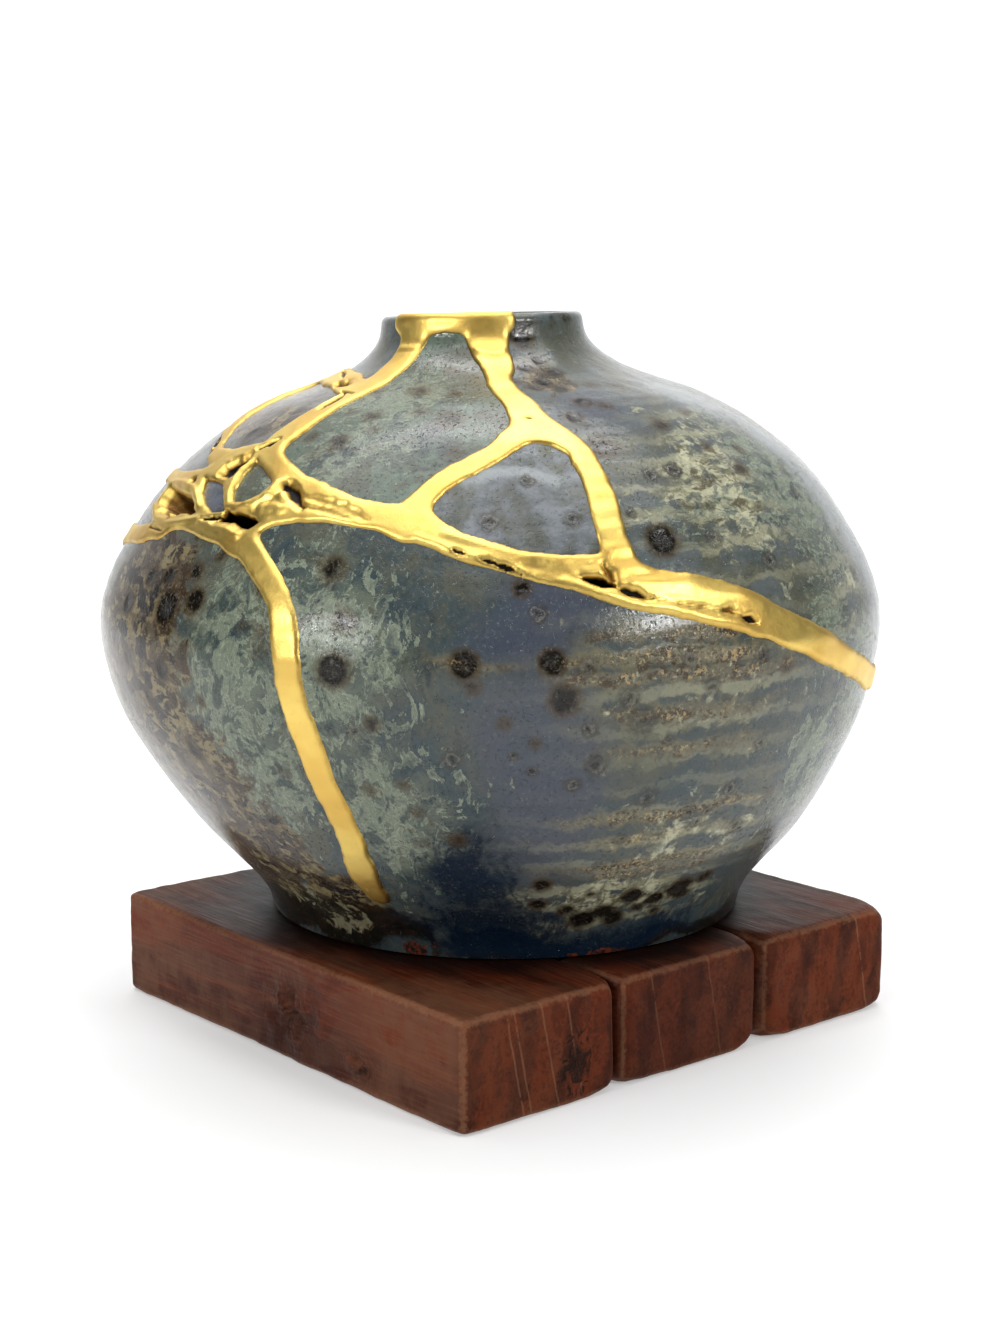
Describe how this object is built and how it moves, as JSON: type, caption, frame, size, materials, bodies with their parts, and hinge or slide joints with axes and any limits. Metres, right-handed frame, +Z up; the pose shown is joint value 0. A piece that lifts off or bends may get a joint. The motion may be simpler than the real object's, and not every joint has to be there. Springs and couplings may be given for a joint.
{
  "type": "kintsugi vase",
  "caption": "Squat round stoneware bottle vase, broken and mended with raised gold lacquer seams, standing on a square base of planed boards.",
  "frame": {"origin": "on the ground under the middle of the pot's belly, which is the middle of the whole part's box", "axes": "+Z up; the boards lie along Y; the side shown in the picture faces halfway between -X and -Y"},
  "size_m": [0.1405, 0.141, 0.1265],
  "materials": {
    "bowl_glaze": "mottled slate blue and brown glaze",
    "green_glaze": "streaky grey-green glaze",
    "blue_glaze": "slate blue glaze",
    "shoulder_glaze": "mottled grey and olive glaze",
    "pale_glaze": "pale grey glaze with brown clouds",
    "chip_glaze": "plain grey glaze",
    "gold_lacquer": "lacquer dusted with gold, bright satin",
    "stained_wood": "planed, stained red-brown and worn"
  },
  "bodies": {
    "root": {"lower_body": "bowl_glaze", "front_shoulder_shard": "green_glaze", "triangle_shard": "blue_glaze", "neck_and_shoulder_shard": "shoulder_glaze", "left_shoulder_shard": "pale_glaze", "back_left_shard": "pale_glaze", "left_edge_shard": "pale_glaze", "grey_chip": "chip_glaze", "green_chip": "green_glaze", "gold_lacquer": "gold_lacquer", "board_left": "stained_wood", "board_middle": "stained_wood", "board_right": "stained_wood"}
  },
  "joints": []
}
